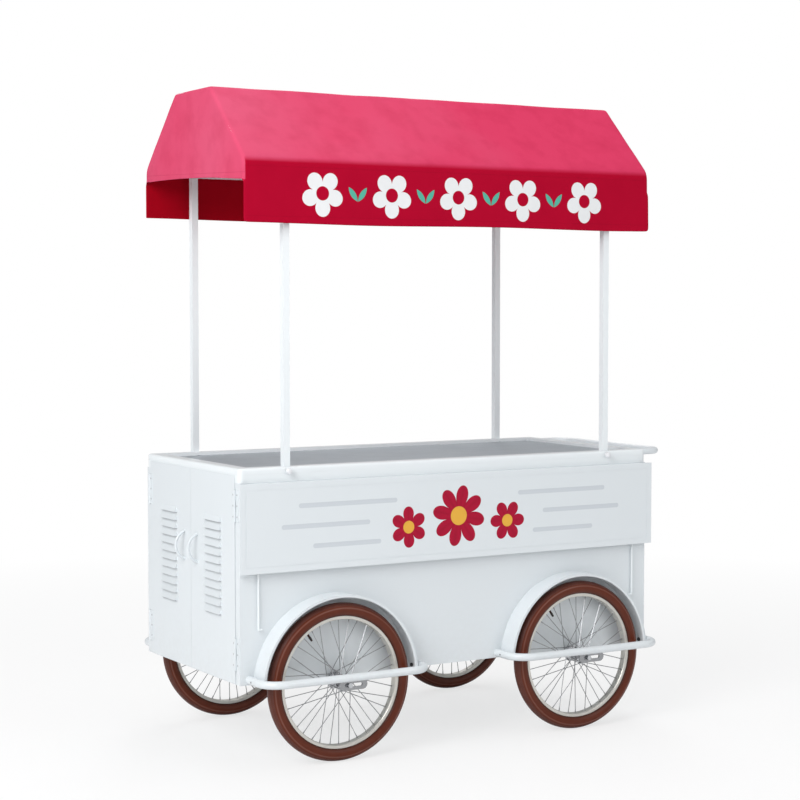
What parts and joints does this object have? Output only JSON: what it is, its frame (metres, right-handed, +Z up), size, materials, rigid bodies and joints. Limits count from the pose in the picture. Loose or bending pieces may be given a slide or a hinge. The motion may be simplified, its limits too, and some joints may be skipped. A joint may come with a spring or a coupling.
{
  "type": "flower cart",
  "caption": "White sheet-metal vending cart on spoked wheels, with louvred doors, a stainless counter, a flap that swings up on stays, a push handle and a fabric roof on posts",
  "frame": {"origin": "on the ground under the middle of the overall box", "axes": "+Z up, +X along the counter towards the push handle, the customer's side with the flap faces -Y"},
  "size_m": [1.727, 0.976, 2.114],
  "materials": {
    "white_paint": "gloss white",
    "stainless": "brushed",
    "hinge_steel": "satin",
    "chrome": "polished",
    "spoke_steel": "drawn wire",
    "rim": "polished",
    "tyre": "brown rubber",
    "roof_cloth": "coated cloth",
    "white_plastic": "gloss",
    "black_steel": "satin black"
  },
  "bodies": {
    "cart": {"body_frame": "white_paint", "front_panel": "white_paint", "rear_panel": "white_paint", "right_end_panel": "white_paint", "left_end_frame": "white_paint", "floor_panel": "white_paint", "inner_shelf": "white_paint", "top_rail": "white_paint", "counter_top": "stainless", "push_handle": "white_paint", "door_hinge_fixed_leaves": "hinge_steel", "door_catches": "white_paint", "flap_hinge_bar": "hinge_steel", "stay_eyes": "hinge_steel", "guard_bars": "white_paint", "axles": "chrome", "hub_cones": "chrome", "axle_nuts": "chrome", "axle_plates": "chrome", "axle_brackets": "white_paint", "fender_bolts": "black_steel", "post_sockets": "white_paint", "front_left_fender": "white_paint", "front_right_fender": "white_paint", "rear_left_fender": "white_paint", "rear_right_fender": "white_paint"},
    "front_left_wheel": {"front_left_tyre": "tyre", "front_left_rim": "rim", "front_left_spokes": "spoke_steel", "front_left_hub": "chrome"},
    "front_right_wheel": {"front_right_tyre": "tyre", "front_right_rim": "rim", "front_right_spokes": "spoke_steel", "front_right_hub": "chrome"},
    "rear_left_wheel": {"rear_left_tyre": "tyre", "rear_left_rim": "rim", "rear_left_spokes": "spoke_steel", "rear_left_hub": "chrome"},
    "rear_right_wheel": {"rear_right_tyre": "tyre", "rear_right_rim": "rim", "rear_right_spokes": "spoke_steel", "rear_right_hub": "chrome"},
    "front_door_leaf": {"front_door": "white_paint", "front_door_pull": "white_paint", "front_door_hinge_leaves": "hinge_steel"},
    "rear_door_leaf": {"rear_door": "white_paint", "rear_door_pull": "white_paint", "rear_door_hinge_leaves": "hinge_steel"},
    "flap": {"counter_flap": "white_paint", "flap_hinge_leaf": "hinge_steel", "stay_lugs": "hinge_steel"},
    "left_stay_rod": {"left_stay": "hinge_steel"},
    "right_stay_rod": {"right_stay": "hinge_steel"},
    "roof": {"roof_cover": "roof_cloth", "roof_frame": "white_paint", "roof_posts": "white_paint"},
    "front_left_screw": {"front_left_thumbscrew": "white_plastic"},
    "front_right_screw": {"front_right_thumbscrew": "white_plastic"},
    "rear_left_screw": {"rear_left_thumbscrew": "white_plastic"},
    "rear_right_screw": {"rear_right_thumbscrew": "white_plastic"}
  },
  "joints": [
    {"name": "front_left_roll", "type": "hinge", "parent": "cart", "child": "front_left_wheel", "pos_m": [-0.5026, -0.395, 0.25], "axis": [0, 1, 0], "continuous": true},
    {"name": "front_right_roll", "type": "hinge", "parent": "cart", "child": "front_right_wheel", "pos_m": [0.4134, -0.395, 0.25], "axis": [0, 1, 0], "continuous": true},
    {"name": "rear_left_roll", "type": "hinge", "parent": "cart", "child": "rear_left_wheel", "pos_m": [-0.5026, 0.395, 0.25], "axis": [0, 1, 0], "continuous": true},
    {"name": "rear_right_roll", "type": "hinge", "parent": "cart", "child": "rear_right_wheel", "pos_m": [0.4134, 0.395, 0.25], "axis": [0, 1, 0], "continuous": true},
    {"name": "front_door_swing", "type": "hinge", "parent": "cart", "child": "front_door_leaf", "pos_m": [-0.8289, -0.325, 0.58], "axis": [0, 0, 1], "range_deg": [0, 110]},
    {"name": "rear_door_swing", "type": "hinge", "parent": "cart", "child": "rear_door_leaf", "pos_m": [-0.8289, 0.325, 0.58], "axis": [0, 0, -1], "range_deg": [0, 110]},
    {"name": "flap_lift", "type": "hinge", "parent": "cart", "child": "flap", "pos_m": [-0.0446, -0.3603, 0.88], "axis": [-1, 0, 0], "range_deg": [0, 90]},
    {"name": "left_stay_swing", "type": "hinge", "parent": "flap", "child": "left_stay_rod", "pos_m": [-0.7646, -0.3573, 0.68], "axis": [-1, 0, 0], "range_deg": [-146, 0]},
    {"name": "right_stay_swing", "type": "hinge", "parent": "flap", "child": "right_stay_rod", "pos_m": [0.6754, -0.3573, 0.68], "axis": [-1, 0, 0], "range_deg": [-146, 0]},
    {"name": "roof_lift", "type": "slide", "parent": "cart", "child": "roof", "axis": [0, 0, 1], "range_m": [0, 0.14]},
    {"name": "front_left_screw_turn", "type": "hinge", "parent": "cart", "child": "front_left_screw", "pos_m": [-0.6576, -0.36, 0.9175], "axis": [0, 1, 0], "continuous": true},
    {"name": "front_right_screw_turn", "type": "hinge", "parent": "cart", "child": "front_right_screw", "pos_m": [0.5684, -0.36, 0.9175], "axis": [0, 1, 0], "continuous": true},
    {"name": "rear_left_screw_turn", "type": "hinge", "parent": "cart", "child": "rear_left_screw", "pos_m": [-0.6576, 0.36, 0.9175], "axis": [0, 1, 0], "continuous": true},
    {"name": "rear_right_screw_turn", "type": "hinge", "parent": "cart", "child": "rear_right_screw", "pos_m": [0.5684, 0.36, 0.9175], "axis": [0, 1, 0], "continuous": true}
  ],
  "couplings": [
    {"joint": "left_stay_swing", "follows": "flap_lift", "ratio": -1.6032},
    {"joint": "right_stay_swing", "follows": "flap_lift", "ratio": -1.6032}
  ]
}
